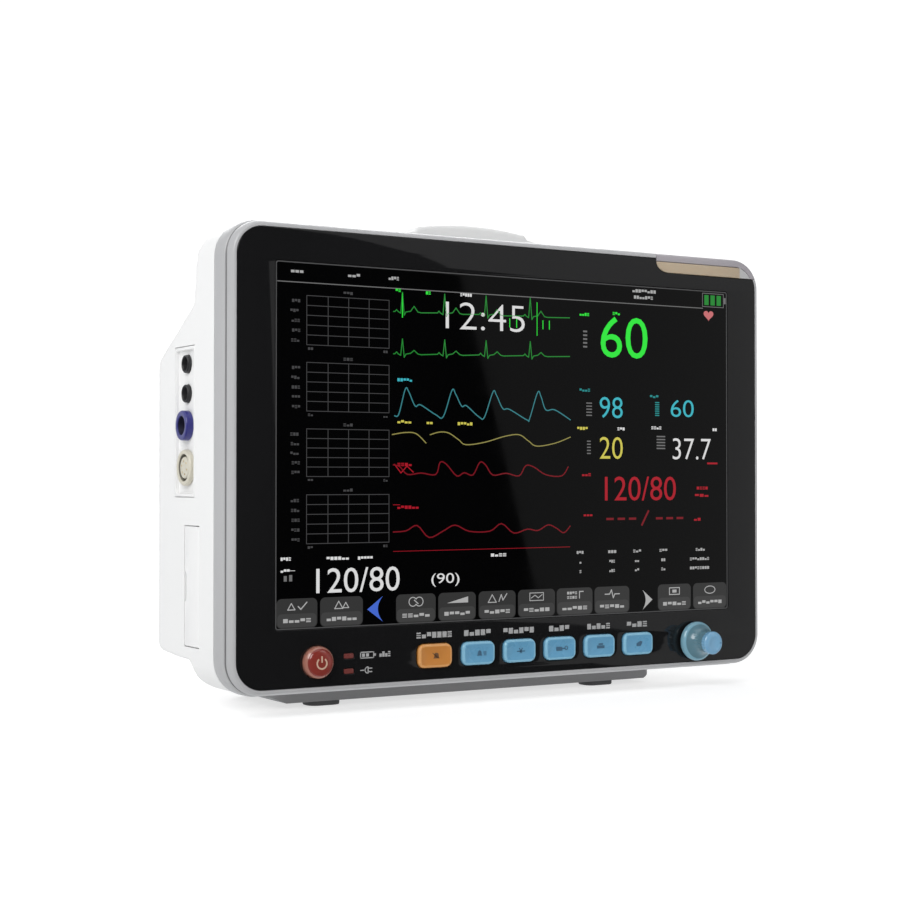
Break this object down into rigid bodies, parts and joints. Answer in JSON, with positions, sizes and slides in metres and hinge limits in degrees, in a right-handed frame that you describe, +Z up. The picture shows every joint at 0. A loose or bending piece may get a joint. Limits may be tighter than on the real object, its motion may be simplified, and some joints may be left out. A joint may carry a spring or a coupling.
{
  "type": "patient monitor",
  "caption": "Bedside patient monitor with a glass-fronted colour screen, soft keys, push-and-turn knob, side sockets, battery door, recorder door and folding handle.",
  "frame": {"origin": "centre of the bounding box in plan, at the underside of the feet", "axes": "+X to the right of the screen as its user sees it, +Y from the screen to the rear, +Z up"},
  "size_m": [0.3252, 0.114, 0.2483],
  "materials": {
    "frame_grey": "fine satin moulded ABS, light grey",
    "case_white": "fine spark texture, white ABS",
    "panel_black": "gloss black acrylic",
    "screen_glass": "toughened cover glass over the display",
    "display": "flat display module",
    "bracket_zinc": "zinc-plated sheet steel",
    "key_orange": "satin-gloss moulded key",
    "key_blue": "satin-gloss moulded key",
    "power_red": "gloss translucent red",
    "knob_blue": "translucent light blue",
    "lens_amber": "translucent amber-beige diffuser",
    "cap_grey": "satin grey",
    "led_red": "dim red light pipe",
    "circuit_board": "green glass-epoxy board with parts",
    "silicone": "moulded silicone sheet",
    "rubber_dark": "matt rubber",
    "steel": "bright steel",
    "dark_plastic": "black moulded plastic",
    "socket_navy": "dark blue moulded socket",
    "socket_ivory": "ivory moulded socket",
    "base_grey": "grey moulded base",
    "paper": "thermal paper",
    "brass": "plated brass",
    "battery": "lithium pack in a blue sleeve, dense as cells are",
    "power_parts": "power board with transformer and heat sink",
    "pump_metal": "motor and pump in a metal can"
  },
  "bodies": {
    "root": {"front_frame": "frame_grey", "front_panel": "panel_black", "screen_glass": "screen_glass", "lcd_panel": "display", "lcd_bracket": "bracket_zinc", "alarm_cap": "cap_grey", "alarm_lens": "lens_amber", "alarm_led_board": "circuit_board", "battery_led_lens": "led_red", "mains_led_lens": "led_red", "keypad_membrane": "silicone", "keypad_board": "circuit_board", "encoder_body": "dark_plastic", "rear_shell": "case_white", "base_plinth": "base_grey", "foot_front_left": "rubber_dark", "foot_front_right": "rubber_dark", "foot_rear_left": "rubber_dark", "foot_rear_right": "rubber_dark", "handle_pin_left": "steel", "handle_pin_right": "steel", "connector_panel": "case_white", "temp_jack_1": "dark_plastic", "temp_jack_2": "dark_plastic", "spo2_socket": "socket_navy", "ecg_socket": "socket_ivory", "nibp_port": "steel", "recorder_housing": "dark_plastic", "battery_bay": "dark_plastic", "battery_pack": "battery", "chassis_plate": "bracket_zinc", "main_board": "circuit_board", "parameter_board": "circuit_board", "power_supply": "power_parts", "nibp_pump": "pump_metal", "nibp_valve": "brass", "speaker": "dark_plastic", "ac_inlet": "dark_plastic", "fuse_holder": "dark_plastic", "network_jack": "bracket_zinc", "ground_stud": "brass", "mount_plate": "bracket_zinc", "case_screw_lower_right": "steel", "case_screw_lower_left": "steel", "case_screw_upper_right": "steel", "case_screw_upper_left": "steel"},
    "power_button": {"power_button": "power_red"},
    "key_silence": {"key_silence": "key_orange"},
    "key_pause": {"key_pause": "key_blue"},
    "key_freeze": {"key_freeze": "key_blue"},
    "key_nibp": {"key_nibp": "key_blue"},
    "key_print": {"key_print": "key_blue"},
    "key_menu": {"key_menu": "key_blue"},
    "encoder": {"encoder_shaft": "steel"},
    "knob": {"knob": "knob_blue"},
    "handle": {"handle": "case_white"},
    "battery_door": {"battery_door": "case_white"},
    "recorder_door": {"recorder_door": "case_white"},
    "paper_roll": {"paper_roll": "paper"}
  },
  "joints": [
    {"name": "power_press", "type": "slide", "parent": "root", "child": "power_button", "axis": [0, 1, 0], "range_m": [0, 0.0015], "stiffness_N_per_m": 1500},
    {"name": "silence_press", "type": "slide", "parent": "root", "child": "key_silence", "axis": [0, 1, 0], "range_m": [0, 0.0012], "stiffness_N_per_m": 1500},
    {"name": "pause_press", "type": "slide", "parent": "root", "child": "key_pause", "axis": [0, 1, 0], "range_m": [0, 0.0012], "stiffness_N_per_m": 1500},
    {"name": "freeze_press", "type": "slide", "parent": "root", "child": "key_freeze", "axis": [0, 1, 0], "range_m": [0, 0.0012], "stiffness_N_per_m": 1500},
    {"name": "nibp_press", "type": "slide", "parent": "root", "child": "key_nibp", "axis": [0, 1, 0], "range_m": [0, 0.0012], "stiffness_N_per_m": 1500},
    {"name": "print_press", "type": "slide", "parent": "root", "child": "key_print", "axis": [0, 1, 0], "range_m": [0, 0.0012], "stiffness_N_per_m": 1500},
    {"name": "menu_press", "type": "slide", "parent": "root", "child": "key_menu", "axis": [0, 1, 0], "range_m": [0, 0.0012], "stiffness_N_per_m": 1500},
    {"name": "encoder_push", "type": "slide", "parent": "root", "child": "encoder", "axis": [0, 1, 0], "range_m": [0, 0.0008], "stiffness_N_per_m": 3500},
    {"name": "knob_turn", "type": "hinge", "parent": "encoder", "child": "knob", "pos_m": [0.113, -0.049, 0.0253], "axis": [0, 1, 0], "continuous": true},
    {"name": "handle_fold", "type": "hinge", "parent": "root", "child": "handle", "pos_m": [0, 0.014, 0.219], "axis": [-1, 0, 0], "range_deg": [0, 80]},
    {"name": "battery_door_hinge", "type": "hinge", "parent": "root", "child": "battery_door", "pos_m": [-0.15868, -0.001, 0.0595], "axis": [0, 0, 1], "range_deg": [0, 100]},
    {"name": "recorder_door_hinge", "type": "hinge", "parent": "root", "child": "recorder_door", "pos_m": [0.15811, 0.016, 0.114], "axis": [0, 1, 0], "range_deg": [0, 90]},
    {"name": "paper_roll_spin", "type": "hinge", "parent": "root", "child": "paper_roll", "pos_m": [0.135, 0.016, 0.136], "axis": [0, 1, 0], "continuous": true}
  ]
}
